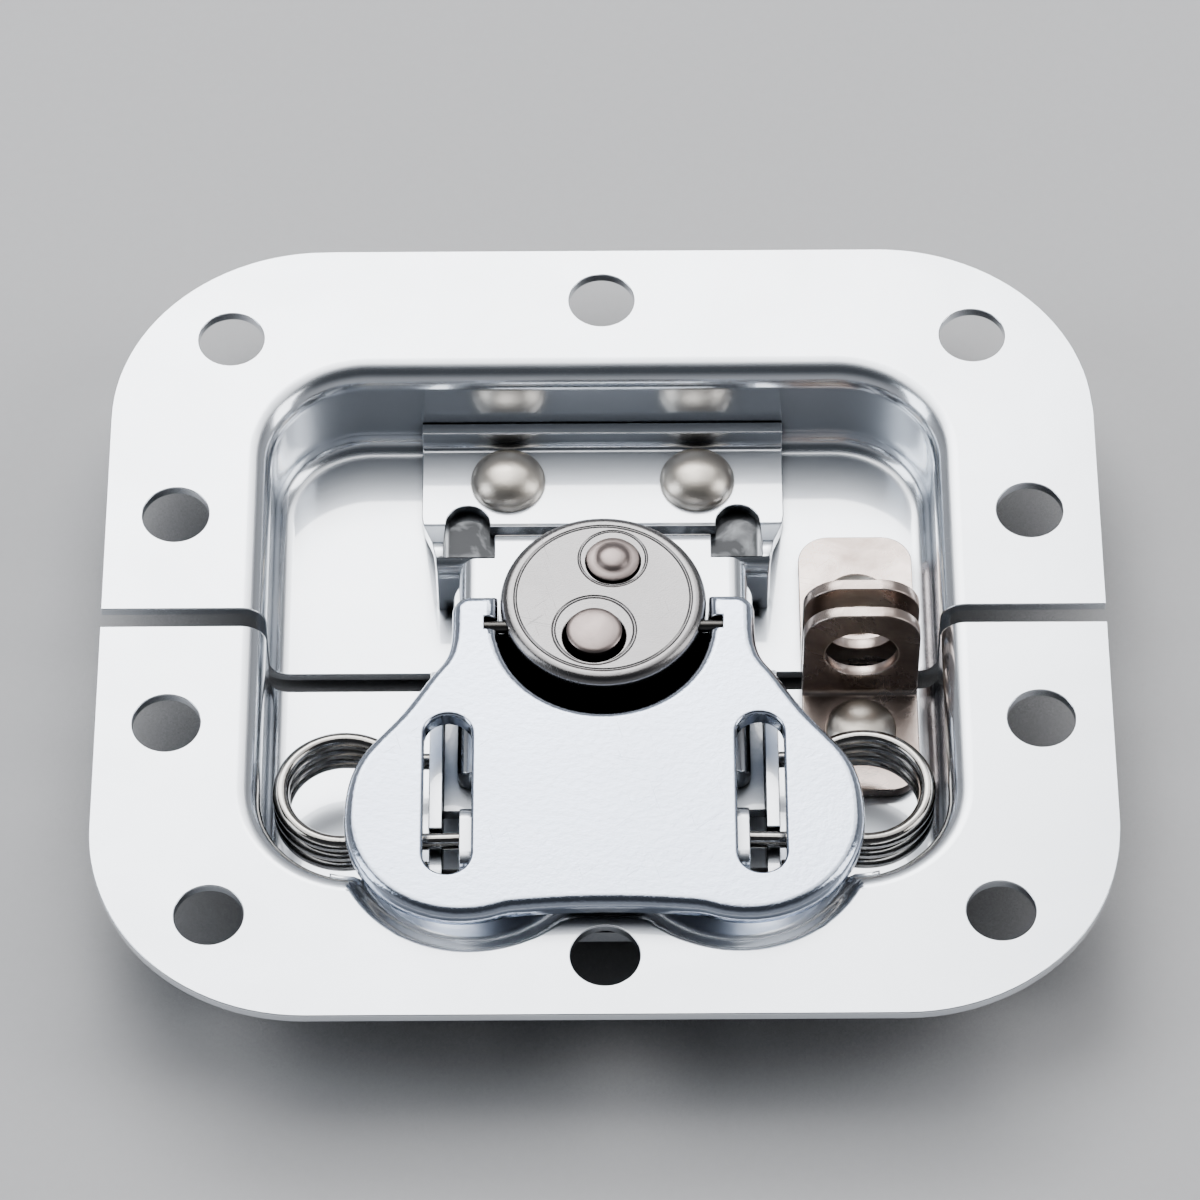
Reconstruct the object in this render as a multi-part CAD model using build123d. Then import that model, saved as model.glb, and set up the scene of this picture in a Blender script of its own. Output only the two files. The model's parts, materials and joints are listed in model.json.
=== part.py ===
from build123d import *
import os
from math import atan2, cos, degrees, hypot, pi, radians, sin

# Recessed butterfly latch for a flight case, latched, lying on its back. Millimetres.
# +Z is up out of the case wall, +Y runs from the latch half to the keeper half, +X is the padlock
# side. The origin is under the middle of the split, level with the tails of the floor rivets.

# ---------------------------------------------------------------- pressed dishes
PLATE_WIDTH = 112.0
PLATE_LENGTH = 104.0
PLATE_CORNER_R = 24.0
SPLIT_GAP = 2.3
SHEET = 1.2
RECESS_WIDTH = 75.2
RECESS_REACH = 33.6
RECESS_DEPTH = 13.0
RECESS_CORNER_R = 11.0
LIP_BEND_R = 2.8
FLOOR_BEND_R = 2.2
SCREW_HOLE_R = 3.75
SIDE_HOLE_MARGIN = 7.9
SIDE_HOLE_Y = 14.2
CORNER_HOLE_MARGIN = (13.4, 12.8)
END_HOLE_MARGIN = 7.4

# two-lobed finger scoop in front of the wing
SCOOP_DEPTH = 2.2
SCOOP_LOBE_R = 14.6
SCOOP_LOBE = (14.5, 29.2)
SCOOP_MIDDLE_Y = 39.6
SCOOP_ROLL_OUT = 1.0
SCOOP_ROLL_RUN = 4.2
SCOOP_ROLL_STEPS = 6
SCOOP_BLEND_R = 4.0

# ---------------------------------------------------------------- floor rivets
RIVET_R = 2.0
RIVET_HEAD_R = 4.0
RIVET_HEAD_H = 2.1
RIVET_TAIL_R = 2.9
RIVET_TAIL_H = 1.2

# ---------------------------------------------------------------- keeper
KEEPER_SHEET = 1.5
KEEPER_BEND_R = 0.8
KEEPER_BELOW = 4.6
KEEPER_FRONT_Y = 10.0
KEEPER_CREST = 2.3
KEEPER_FOOT_Y = 20.6
KEEPER_FRONT_HALF = 18.6
KEEPER_REAR_HALF = 20.8
KEEPER_LIP_H = 3.4
KEEPER_RIVET_X = 10.9
KEEPER_RIVET_WALL_GAP = 6.6
KEEPER_RIVET_HEAD_R = 4.3
KEEPER_RIVET_HEAD_H = 2.7
WINDOW_BEFORE_FOOT = 0.3
WINDOW_HALF = 18.0
RELIEF_R = 2.5
RELIEF_REACH = 3.3

# ---------------------------------------------------------------- padlock hasp
HASP_SHEET = 1.4
HASP_INNER_X = 22.3
HASP_WALL_GAP = 2.3
HASP_BEND_R = 0.8
HASP_ABOVE = 3.0
HASP_EAR_CORNER_R = 4.5
HASP_BASE_CORNER_R = 3.5
HASP_HOLE_R = 4.1
HASP_HOLE_BELOW = 4.4
UPPER_HASP_END_Y = 19.0
LOWER_HASP_END_Y = 15.9
UPPER_HASP_RIVET_Y = 9.5
LOWER_HASP_RIVET_Y = 7.8

# ---------------------------------------------------------------- base bracket and hinge pin
BRACKET_SHEET = 1.5
BRACKET_BEND_R = 0.8
BRACKET_HALF = 15.8
BRACKET_FRONT_Y = -9.0
EAR_WALL_GAP = 0.4
EAR_LENGTH = 8.9
EAR_BELOW = 0.5
EAR_CORNER_R = 2.4
BASE_RIVET_X = 8.0
BASE_RIVET_REACH = 3.8
PIN_BELOW = 7.0
PIN_R = 1.5
PIN_HEAD_R = 2.4
PIN_HEAD_H = 1.0
LIFT_DEG = 25.0

# ---------------------------------------------------------------- carrier
CARRIER_SHEET = 1.5
CARRIER_HALF = 19.2
DECK_BELOW = 5.6
DECK_HALF = 16.8
DECK_FRONT_Y = 9.2
DECK_BACK_REACH = 8.4
DECK_CORNER_R = 3.0
WALL_FRONT_Y = -5.0
LUG_REACH = 4.0
WALL_BELOW = 2.2
WALL_DEPTH = 7.8
LUG_R = 2.6

# ---------------------------------------------------------------- lift springs
WIRE_R = 0.8
COIL_PITCH = 1.9
COIL_TURNS = 2.5
COIL_INNER_X = 20.5
COIL_WALL_GAP = 1.3
COIL_REACH = 9.9
COIL_TOP_BELOW = 3.4
NEAR_LEG_END_X = 13.4
FAR_LEG_END_X = 16.2

# ---------------------------------------------------------------- hook plate
HOOK_SHEET = 1.6
HOOK_BELOW = 2.0
HOOK_BEND_R = 0.6
HOOK_HALF = 16.2
HOOK_BACK_WEB = 3.05
HOOK_SHOULDER_Y = 9.4
HOOK_WALL_END_Y = 8.0
NOSE_HALF = 12.2
NOSE_GAP = 0.5
NOSE_DROP = 7.5
NOSE_CORNER_R = 2.4

# ---------------------------------------------------------------- rotor
DISC_R = 11.2
DISC_Y = 0.2
DISC_H = 3.3
DISC_ABOVE = 0.5
DISC_RIM_R = 1.2
PIVOT = (1.1, 5.0)
CRANK = (-1.0, -4.7)
PIVOT_HEAD_R = 3.0
CRANK_HEAD_R = 3.1
CRANK_HOLE_R = 3.45
CRANK_HOLE_DROP = 0.25
SHANK_R = 2.0
SHANK_TAIL_R = 3.0
SHANK_TAIL_H = 1.0
HEAD_CROWN = 0.6
ROTOR_PLATE_R = 9.8

# ---------------------------------------------------------------- butterfly wing
WING_SHEET = 2.1
WING_ABOVE = 1.5
WING_EDGE_R = 1.3
WING_SLOT_EDGE_R = 0.4
HORN_OUTER_X = 16.7
HORN_TIP_Y = 0.5
HORN_CORNER_R = 2.0
WING_PIN_Y = -3.4
WING_PIN_R = 0.7
WING_PIN_IN = 3.0
WING_PIN_OUT = 2.6
POCKET_SIZE = 1.5
LOBE = (15.4, -28.9)
LOBE_R = 12.8
LOBE_INNER_DEG = -112.0
WING_MIDDLE_Y = -40.2
WAIST = [(26.7, -21.2), (22.1, -15.1), (18.6, -9.6)]
WING_SLOT = (17.0, -26.0)
WING_SLOT_WIDTH = 5.2
WING_SLOT_LENGTH = 20.6

# ---------------------------------------------------------------- clearances
RUNNING = 0.05
SLIDING = 0.1
LOOSE = 0.15
SIDE_GAP = 0.5

# ---------------------------------------------------------------- levels and places worked out
FLOOR_Z = RIVET_TAIL_H + SHEET
TOP_Z = FLOOR_Z + RECESS_DEPTH
KEEPER_TOP_Z = TOP_Z - KEEPER_BELOW
HASP_HOLE_Z = TOP_Z - HASP_HOLE_BELOW
PIN_Z = TOP_Z - PIN_BELOW
DECK_Z = TOP_Z - DECK_BELOW
HOOK_Z = TOP_Z - HOOK_BELOW
HOOK_WALL_Z = DECK_Z + SLIDING
DISC_Z = TOP_Z + DISC_ABOVE
DISC_TOP_Z = DISC_Z + DISC_H
WING_Z = TOP_Z + WING_ABOVE
WING_PIN_Z = WING_Z + WING_SHEET / 2
HORN_INNER_X = DISC_R + SIDE_GAP
CRANK_R = hypot(CRANK[0] - PIVOT[0], CRANK[1] - PIVOT[1])
CRANK_DEG = degrees(atan2(CRANK[1] - PIVOT[1], CRANK[0] - PIVOT[0]))
STROKE = 2 * CRANK_R * sin(radians(-CRANK_DEG))
NOSE_Y = KEEPER_FRONT_Y + KEEPER_SHEET + NOSE_GAP + HOOK_SHEET
SIDE_HOLE = (PLATE_WIDTH / 2 - SIDE_HOLE_MARGIN, SIDE_HOLE_Y)
CORNER_HOLE = (PLATE_WIDTH / 2 - CORNER_HOLE_MARGIN[0], PLATE_LENGTH / 2 - CORNER_HOLE_MARGIN[1])
END_HOLE_Y = PLATE_LENGTH / 2 - END_HOLE_MARGIN
KEEPER_RIVET = (KEEPER_RIVET_X, RECESS_REACH - KEEPER_RIVET_WALL_GAP)
HASP_WIDTH = RECESS_WIDTH / 2 - HASP_WALL_GAP - HASP_INNER_X
HASP_X = HASP_INNER_X + HASP_WIDTH / 2
EAR_BACK_Y = EAR_WALL_GAP - RECESS_REACH
EAR_FAR_Y = EAR_BACK_Y + EAR_LENGTH
PIN_Y = EAR_BACK_Y + PIN_HEAD_R
BASE_RIVET = (BASE_RIVET_X, PIN_Y + BASE_RIVET_REACH)
BRACKET_BACK_Y = EAR_BACK_Y + FLOOR_BEND_R + EAR_WALL_GAP
DECK_BACK_Y = PIN_Y + DECK_BACK_REACH
HOOK_BACK_Y = PIVOT[1] - STROKE - SHANK_R - LOOSE - HOOK_BACK_WEB
WALL_STEP_Y = PIN_Y + LUG_REACH
COIL_R = (RECESS_WIDTH / 2 - COIL_WALL_GAP - COIL_INNER_X) / 2 - WIRE_R
COIL_X = COIL_INNER_X + COIL_R + WIRE_R
COIL_Y = PIN_Y + COIL_REACH
COIL_TOP_Z = TOP_Z - COIL_TOP_BELOW
COIL_BOTTOM_Z = COIL_TOP_Z - COIL_PITCH * COIL_TURNS
LEG_RISE = COIL_PITCH / (2 * pi * COIL_R)
FAR_LEG_Z = COIL_BOTTOM_Z - LEG_RISE * (COIL_X - CARRIER_HALF + CARRIER_SHEET / 2)
NEAR_LEG_Z = COIL_TOP_Z + LEG_RISE * (COIL_X - BRACKET_HALF + BRACKET_SHEET / 2)
SPLIT_Y = SPLIT_GAP / 2
TALL = 4 * TOP_Z


def column(x, y, radius, bottom, top):
    """Upright round bar between two heights."""
    return Pos(x, y, bottom) * extrude(Circle(radius), amount=top - bottom)


def crossbar(y, z, radius, x_from, x_to):
    """Round bar along X between two places."""
    return Pos(x_from, y, z) * extrude(Plane.YZ * Circle(radius), amount=x_to - x_from)


def prism(outline, bottom, top):
    """Plan outline raised between two heights."""
    return Pos(0, 0, bottom) * extrude(outline, amount=top - bottom)


def bent_sheet(plane, points, bend_r, sheet, half_width):
    """Strip of sheet whose middle line is drawn on a plane, with rounded bends, spread to both sides."""
    line = FilletPolyline(*points, radius=bend_r + sheet / 2)
    return extrude(plane * trace(line, line_width=sheet), amount=half_width, both=True)


def side_profile(points, x_from, x_to):
    """Y-Z polygon spread along X."""
    face = make_face(Polyline(*points, close=True))
    return Pos(x_from, 0, 0) * extrude(Plane.YZ * face, amount=x_to - x_from)


def swap_x(shape):
    return mirror(shape, about=Plane.YZ)


# ---------------------------------------------------------------- dishes
def rounded_half(width, near, far, corner_r):
    """Half plate in plan: square at the split, rounded at its far corners."""
    outline = Pos(0, (near + far) / 2) * Rectangle(width, far - near)
    far_corners = outline.vertices().group_by(Axis.Y)[-1]
    return fillet(far_corners, radius=corner_r)


def scoop_outline(extra):
    """Two round lobes joined across the middle, grown by extra, with its inner side inside the recess."""
    x, y = SCOOP_LOBE
    radius = SCOOP_LOBE_R + extra
    middle = SCOOP_MIDDLE_Y + extra
    dip = x - (radius**2 - (middle - y)**2) ** 0.5
    crest = (x, y + radius)
    diagonal = radius * cos(radians(45))
    right = ThreePointArc((x + radius, y), (x + diagonal, y + diagonal), crest)
    inner = RadiusArc(crest, (dip, middle), -radius)
    lines = [right, inner, Line((dip, middle), (-dip, middle)), mirror(inner, about=Plane.YZ),
             mirror(right, about=Plane.YZ), Line((-x - radius, y), (x + radius, y))]
    face = make_face(Curve() + lines)
    dips = [v for v in face.vertices() if abs(abs(v.X) - dip) < SLIDING and v.Y > y + SLIDING]
    return fillet(dips, radius=SCOOP_BLEND_R)


def scoop_press():
    """Tool that presses the scoop: its rim rolls in and its bottom rolls out in one smooth wave."""
    sections = []
    for step in range(SCOOP_ROLL_STEPS + 1):
        share = step / SCOOP_ROLL_STEPS
        depth = (SCOOP_DEPTH + SLIDING) * (1 - cos(pi * share)) / 2 - SLIDING
        sections.append(Pos(0, 0, TOP_Z - depth) * scoop_outline(SCOOP_ROLL_OUT - SCOOP_ROLL_RUN * share))
    return loft(sections)


def dish(scooped):
    """Pressed recess with a flat flange, open at the split, drawn on the keeper side."""
    underside = TOP_Z - SHEET
    wall = RECESS_WIDTH / 2
    flange = prism(rounded_half(PLATE_WIDTH, SPLIT_Y, PLATE_LENGTH / 2, PLATE_CORNER_R), underside, TOP_Z)
    well = rounded_half(RECESS_WIDTH + 2 * SHEET, SPLIT_Y, RECESS_REACH + SHEET, RECESS_CORNER_R + SHEET)
    body = flange + prism(well, FLOOR_Z - SHEET, underside)
    under_bend = [e for e in body.edges().filter_by_position(Axis.Z, underside, underside)
                  if abs(e.center().X) < wall + 2 * SHEET and e.center().Y < RECESS_REACH + 2 * SHEET
                  and e.center().Y > SPLIT_Y + SHEET]
    body = fillet(under_bend, radius=LIP_BEND_R - SHEET)
    floor_bend = [e for e in body.edges().filter_by_position(Axis.Z, FLOOR_Z - SHEET, FLOOR_Z - SHEET)
                  if e.center().Y > SPLIT_Y + SHEET]
    body = fillet(floor_bend, radius=FLOOR_BEND_R + SHEET)
    hollow = rounded_half(RECESS_WIDTH, -RECESS_REACH, RECESS_REACH, RECESS_CORNER_R)
    hollow = prism(hollow, FLOOR_Z, TOP_Z + SHEET)
    hollow = fillet([e for e in hollow.edges().filter_by_position(Axis.Z, FLOOR_Z, FLOOR_Z)
                     if e.center().Y > -RECESS_REACH + SHEET], radius=FLOOR_BEND_R)
    body = body - hollow
    lip = [e for e in body.edges().filter_by_position(Axis.Z, TOP_Z, TOP_Z)
           if abs(e.center().X) < wall + SHEET and e.center().Y < RECESS_REACH + SHEET
           and e.center().Y > SPLIT_Y + SHEET]
    body = fillet(lip, radius=LIP_BEND_R)
    if scooped:
        pan = prism(scoop_outline(SHEET), underside - SCOOP_DEPTH, underside)
        body = body + (pan - hollow)
        body = body - scoop_press() - hollow
    holes = [(SIDE_HOLE[0], SIDE_HOLE[1]), (-SIDE_HOLE[0], SIDE_HOLE[1]),
             (CORNER_HOLE[0], CORNER_HOLE[1]), (-CORNER_HOLE[0], CORNER_HOLE[1]), (0, END_HOLE_Y)]
    for x, y in holes:
        body -= column(x, y, SCREW_HOLE_R, 0, TALL)
    return body


def upper_dish():
    body = dish(False)
    for x, y in [(-KEEPER_RIVET[0], KEEPER_RIVET[1]), KEEPER_RIVET, (HASP_X, UPPER_HASP_RIVET_Y)]:
        body -= column(x, y, RIVET_R, 0, TALL)
    return body


def lower_dish():
    body = mirror(dish(True), about=Plane.XZ)
    for x, y in [(-BASE_RIVET[0], BASE_RIVET[1]), BASE_RIVET, (HASP_X, -LOWER_HASP_RIVET_Y)]:
        body -= column(x, y, RIVET_R, 0, TALL)
    return body


# ---------------------------------------------------------------- rivets through the floors
def floor_rivet(x, y, seat_z, head_r=RIVET_HEAD_R, head_h=RIVET_HEAD_H):
    """Domed head on a plate, plain shank, flattened tail under the dish."""
    dome_r = (head_r**2 + head_h**2) / (2 * head_h)
    ball = Pos(x, y, seat_z + head_h - dome_r) * Sphere(dome_r)
    head = ball & column(x, y, 2 * head_r, seat_z, seat_z + 2 * head_h)
    tail = column(x, y, RIVET_TAIL_R, 0, RIVET_TAIL_H)
    tail = chamfer(tail.edges().group_by(Axis.Z)[0], length=RIVET_TAIL_H / 3)
    return head + column(x, y, RIVET_R, RIVET_TAIL_H, seat_z) + tail


# ---------------------------------------------------------------- keeper
def keeper():
    """Flange on the floor, slope up to a rounded crest, front wall, and the window for the hook."""
    half = KEEPER_SHEET / 2
    low = FLOOR_Z + half
    high = KEEPER_TOP_Z - half
    front = KEEPER_FRONT_Y + half
    lip_y = RECESS_REACH - SLIDING - half
    lip_bend = FLOOR_BEND_R - half + SLIDING
    level_y = KEEPER_FOOT_Y + 2 * KEEPER_SHEET
    crest = [(front, FLOOR_Z), (front, high), (front + KEEPER_CREST, high), (KEEPER_FOOT_Y, low),
             (level_y, low)]
    body = bent_sheet(Plane.YZ, crest, KEEPER_BEND_R, KEEPER_SHEET, KEEPER_REAR_HALF)
    flange = [(level_y - half, low), (lip_y, low), (lip_y, low + KEEPER_LIP_H)]
    flange = trace(FilletPolyline(*flange, radius=lip_bend), line_width=KEEPER_SHEET)
    body += extrude(Plane.YZ * flange, amount=KEEPER_REAR_HALF, both=True)
    sides = [(KEEPER_FRONT_HALF, KEEPER_FRONT_Y - half), (KEEPER_REAR_HALF, KEEPER_FOOT_Y + KEEPER_SHEET),
             (KEEPER_REAR_HALF, RECESS_REACH)]
    plan = make_face(Polyline(*sides, *[(-x, y) for x, y in reversed(sides)], close=True))
    body = body & prism(plan, 0, TALL)
    body -= prism(hook_window(), 0, TALL)
    for side in (-1, 1):
        body -= column(side * KEEPER_RIVET[0], KEEPER_RIVET[1], RIVET_R, 0, TALL)
    return body


def keeper_rivet(side):
    """One of the two larger rivets through the keeper's flange."""
    return floor_rivet(side * KEEPER_RIVET[0], KEEPER_RIVET[1], FLOOR_Z + KEEPER_SHEET,
                       KEEPER_RIVET_HEAD_R, KEEPER_RIVET_HEAD_H)


def hook_window():
    """Opening behind the keeper's front wall, with a round relief at each far corner."""
    near_y = KEEPER_FRONT_Y + KEEPER_SHEET
    far_y = KEEPER_FOOT_Y - WINDOW_BEFORE_FOOT
    relief_y = far_y + RELIEF_REACH - RELIEF_R
    window = Pos(0, (near_y + far_y) / 2) * Rectangle(2 * WINDOW_HALF, far_y - near_y)
    for side in (-1, 1):
        x = side * (WINDOW_HALF - RELIEF_R)
        window += Pos(x, relief_y) * Circle(RELIEF_R)
        window += Pos(x, (near_y + relief_y) / 2) * Rectangle(2 * RELIEF_R, relief_y - near_y)
    return window


# ---------------------------------------------------------------- padlock hasp
def hasp(end_y, rivet_y):
    """L bracket on the keeper side: base on the floor, rounded ear standing at the split."""
    half = HASP_SHEET / 2
    ear_y = SPLIT_Y + half
    points = [(ear_y, TOP_Z + HASP_ABOVE), (ear_y, FLOOR_Z + half), (end_y, FLOOR_Z + half)]
    body = Pos(HASP_X, 0, 0) * bent_sheet(Plane.YZ, points, HASP_BEND_R, HASP_SHEET, HASP_WIDTH / 2)
    ear_top = [e for e in body.edges().filter_by(Axis.Y) if e.center().Z > TOP_Z + HASP_ABOVE - SLIDING]
    body = fillet(ear_top, radius=HASP_EAR_CORNER_R)
    base_end = [e for e in body.edges().filter_by(Axis.Z) if e.center().Y > end_y - SLIDING]
    body = fillet(base_end, radius=HASP_BASE_CORNER_R)
    hole = extrude(Plane.XZ * (Pos(HASP_X, HASP_HOLE_Z) * Circle(HASP_HOLE_R)), amount=TALL, both=True)
    return body - hole - column(HASP_X, rivet_y, RIVET_R, 0, TALL)


# ---------------------------------------------------------------- base bracket and its hinge pin
def leg_slot(side):
    """Curved slot in an ear, round the hinge pin, in which a spring leg travels as the latch lifts."""
    near_y = COIL_Y - COIL_R
    reach = hypot(near_y - PIN_Y, NEAR_LEG_Z - PIN_Z)
    start = degrees(atan2(NEAR_LEG_Z - PIN_Z, near_y - PIN_Y))
    travel = CenterArc((PIN_Y, PIN_Z), reach, start, LIFT_DEG)
    slot = SlotArc(travel, 2 * (WIRE_R + LOOSE))
    inner = side * (BRACKET_HALF - 2 * BRACKET_SHEET)
    return Pos(inner, 0, 0) * extrude(Plane.YZ * slot, amount=side * 3 * BRACKET_SHEET)


def base_bracket():
    """Floor plate with two upright ears, bent from one sheet."""
    half = BRACKET_SHEET / 2
    ear_x = BRACKET_HALF - half
    ear_top = TOP_Z - EAR_BELOW
    points = [(-ear_x, ear_top), (-ear_x, FLOOR_Z + half), (ear_x, FLOOR_Z + half), (ear_x, ear_top)]
    body = bent_sheet(Plane.XZ, points, BRACKET_BEND_R, BRACKET_SHEET, PLATE_LENGTH / 2)
    step_z = FLOOR_Z + 2 * BRACKET_SHEET
    side = [(BRACKET_FRONT_Y, FLOOR_Z), (BRACKET_FRONT_Y, step_z), (EAR_FAR_Y, step_z), (EAR_FAR_Y, ear_top),
            (EAR_BACK_Y, ear_top), (EAR_BACK_Y, FLOOR_Z + FLOOR_BEND_R), (BRACKET_BACK_Y, FLOOR_Z)]
    keep = make_face(Polyline(*side, close=True))
    keep = fillet([v for v in keep.vertices() if v.Y > ear_top - SLIDING], radius=EAR_CORNER_R)
    body = body & extrude(Plane.YZ * keep, amount=BRACKET_HALF, both=True)
    body -= crossbar(PIN_Y, PIN_Z, PIN_R, -BRACKET_HALF, BRACKET_HALF)
    for side in (-1, 1):
        body -= leg_slot(side)
        body -= column(side * BASE_RIVET[0], BASE_RIVET[1], RIVET_R, 0, TALL)
    return body


def hinge_pin():
    """Pin with a flat head at each end, outside the carrier's walls."""
    inner = CARRIER_HALF + SLIDING
    body = crossbar(PIN_Y, PIN_Z, PIN_R, -inner, inner)
    for x in (-inner - PIN_HEAD_H, inner):
        body += crossbar(PIN_Y, PIN_Z, PIN_HEAD_R, x, x + PIN_HEAD_H)
    return body


# ---------------------------------------------------------------- carrier
def carrier_wall():
    """Right side wall: low lug round the hinge pin, tall middle, sloping front."""
    top = TOP_Z - WALL_BELOW
    bottom = top - WALL_DEPTH
    under_deck = DECK_Z - CARRIER_SHEET
    inner = CARRIER_HALF - CARRIER_SHEET
    points = [(WALL_FRONT_Y, under_deck), (WALL_FRONT_Y, top - CARRIER_SHEET),
              (WALL_FRONT_Y - CARRIER_SHEET, top), (WALL_STEP_Y, top),
              (WALL_STEP_Y, PIN_Z + LUG_R - 2 * RUNNING), (PIN_Y, PIN_Z + LUG_R),
              (PIN_Y, PIN_Z - LUG_R), (WALL_STEP_Y, bottom), (DECK_BACK_Y + LUG_R, bottom),
              (WALL_FRONT_Y - 2 * LUG_R, bottom), (WALL_FRONT_Y - LUG_R, under_deck)]
    wall = side_profile(points, inner, CARRIER_HALF) + crossbar(PIN_Y, PIN_Z, LUG_R, inner, CARRIER_HALF)
    wall -= crossbar(COIL_Y + COIL_R, FAR_LEG_Z, WIRE_R + LOOSE, inner - SHEET, CARRIER_HALF + SHEET)
    return wall - crossbar(PIN_Y, PIN_Z, PIN_R + RUNNING, inner - SHEET, CARRIER_HALF + SHEET)


def carrier():
    """Deck that carries the hook plate and the rotor, with a side wall at each edge."""
    inner = CARRIER_HALF - CARRIER_SHEET
    length = DECK_FRONT_Y - DECK_BACK_Y
    tongue = Pos(0, DECK_BACK_Y + length / 2) * Rectangle(2 * DECK_HALF, length)
    tongue = fillet(tongue.vertices().group_by(Axis.Y)[-1], radius=DECK_CORNER_R)
    back_y = (WALL_FRONT_Y + DECK_BACK_Y) / 2
    deck = tongue + Pos(0, back_y) * Rectangle(2 * inner, WALL_FRONT_Y - DECK_BACK_Y)
    body = prism(deck, DECK_Z - CARRIER_SHEET, DECK_Z)
    body += carrier_wall() + swap_x(carrier_wall())
    return body - column(*PIVOT, SHANK_R + RUNNING, 0, TALL)


# ---------------------------------------------------------------- lift springs
def spring_left():
    """Flat coil of thick wire: bottom leg into the carrier wall, top leg into the bracket ear."""
    turns = Rot(0, 0, 90) * Helix(COIL_PITCH, COIL_PITCH * COIL_TURNS, COIL_R)
    coil = Pos(-COIL_X, COIL_Y, COIL_BOTTOM_Z) * turns
    far_leg = Line(coil @ 0 + Vector(1, 0, -LEG_RISE) * (COIL_X - FAR_LEG_END_X), coil @ 0)
    near_leg = Line(coil @ 1, coil @ 1 + Vector(1, 0, LEG_RISE) * (COIL_X - NEAR_LEG_END_X))
    wire = Wire([far_leg, coil, near_leg])
    return sweep(Plane(origin=wire @ 0, z_dir=wire % 0) * Circle(WIRE_R), path=wire)


# ---------------------------------------------------------------- hook plate
def hook_plate():
    """Shallow channel with a turned-down nose, slotted for the pivot and the crank."""
    half = HOOK_SHEET / 2
    level = HOOK_Z - half
    edge = HOOK_HALF - half
    channel_line = [(-edge, HOOK_WALL_Z), (-edge, level), (edge, level), (edge, HOOK_WALL_Z)]
    channel = bent_sheet(Plane.XZ, channel_line, HOOK_BEND_R, HOOK_SHEET, PLATE_LENGTH / 2)
    nose_y = NOSE_Y - half
    nose_line = [(0, level), (nose_y, level), (nose_y, HOOK_Z - NOSE_DROP)]
    nose = bent_sheet(Plane.YZ, nose_line, HOOK_BEND_R, HOOK_SHEET, NOSE_HALF)
    length = HOOK_SHOULDER_Y - HOOK_BACK_Y
    rear = Pos(0, HOOK_BACK_Y + length / 2) * Rectangle(2 * HOOK_HALF, length)
    shoulders = fillet(rear.vertices(), radius=HOOK_SHEET)
    body = channel & prism(shoulders, 0, TALL)
    trim = Pos(0, HOOK_WALL_END_Y + half, HOOK_WALL_Z) * Box(2 * HOOK_HALF, HOOK_SHEET,
                                                            2 * (level - half - HOOK_WALL_Z))
    body -= trim
    tab_y = NOSE_Y + KEEPER_SHEET
    tab = fillet((Pos(0, tab_y / 2) * Rectangle(2 * NOSE_HALF, tab_y)).vertices(), radius=NOSE_CORNER_R)
    body += nose & prism(tab, 0, TALL)
    run = STROKE + 2 * (SHANK_R + LOOSE)
    pivot_slot = Pos(PIVOT[0], PIVOT[1] - STROKE / 2) * SlotOverall(run, 2 * (SHANK_R + LOOSE), rotation=90)
    body -= prism(pivot_slot, 0, TALL)
    return body - prism(crank_slot(), 0, TALL)


def crank_slot():
    """Room that the crank's shank sweeps across the plate while the plate draws along Y."""
    grown = SHANK_R + LOOSE
    left = CRANK[0] - grown
    right = PIVOT[0] + CRANK_R + grown
    angles = range(0, 181, 5)
    path_y = [PIVOT[1] + CRANK_R * sin(radians(CRANK_DEG + a)) - STROKE * a / 180 for a in angles]
    near = min(path_y) - grown
    far = max(path_y) + grown
    slot = Pos((left + right) / 2, (near + far) / 2) * Rectangle(right - left, far - near)
    return fillet(slot.vertices(), radius=SHANK_R)


# ---------------------------------------------------------------- rotor
def cam_disc():
    """Round disc with a rolled rim, the pivot tight in it and the crank in a larger hole."""
    body = column(0, DISC_Y, DISC_R, DISC_Z, DISC_TOP_Z)
    body = fillet(body.edges().group_by(Axis.Z)[-1], radius=DISC_RIM_R)
    body -= column(*PIVOT, PIVOT_HEAD_R, 0, TALL)
    body -= column(CRANK[0], CRANK[1] - CRANK_HOLE_DROP, CRANK_HOLE_R, 0, TALL)
    for side in (-1, 1):
        body -= wing_pin(side)
    return body


def rotor_plate():
    """Thin round plate under the disc, which holds both shanks."""
    body = column(0, DISC_Y, ROTOR_PLATE_R, HOOK_Z + LOOSE, DISC_Z)
    return body - column(*PIVOT, SHANK_R, 0, TALL) - column(*CRANK, SHANK_R, 0, TALL)


def stepped_rivet(place, head_r, crown_z, tail_z):
    """Crowned head standing in the disc on a thinner shank."""
    x, y = place
    head = column(x, y, head_r, DISC_Z, crown_z)
    head = fillet(head.edges().group_by(Axis.Z)[-1], radius=HEAD_CROWN)
    return head + column(x, y, SHANK_R, tail_z, DISC_Z)


def pivot_rivet():
    """Headed pivot: tight in the disc, turning in the deck, with a collar above and a tail below it."""
    under_deck = DECK_Z - CARRIER_SHEET - SLIDING
    body = stepped_rivet(PIVOT, PIVOT_HEAD_R, DISC_TOP_Z + HEAD_CROWN, under_deck)
    body += column(*PIVOT, SHANK_TAIL_R, DECK_Z + SLIDING, HOOK_Z - HOOK_SHEET - LOOSE)
    return body + column(*PIVOT, SHANK_TAIL_R, under_deck - SHANK_TAIL_H, under_deck)


def crank_rivet():
    """Flat-headed crank: loose in the disc's hole, tight in the plate below, tail under the hook plate."""
    under_hook = HOOK_Z - HOOK_SHEET - LOOSE
    body = stepped_rivet(CRANK, CRANK_HEAD_R, DISC_TOP_Z + HEAD_CROWN / 2, under_hook)
    return body + column(*CRANK, SHANK_TAIL_R, under_hook - SHANK_TAIL_H, under_hook)


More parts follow.
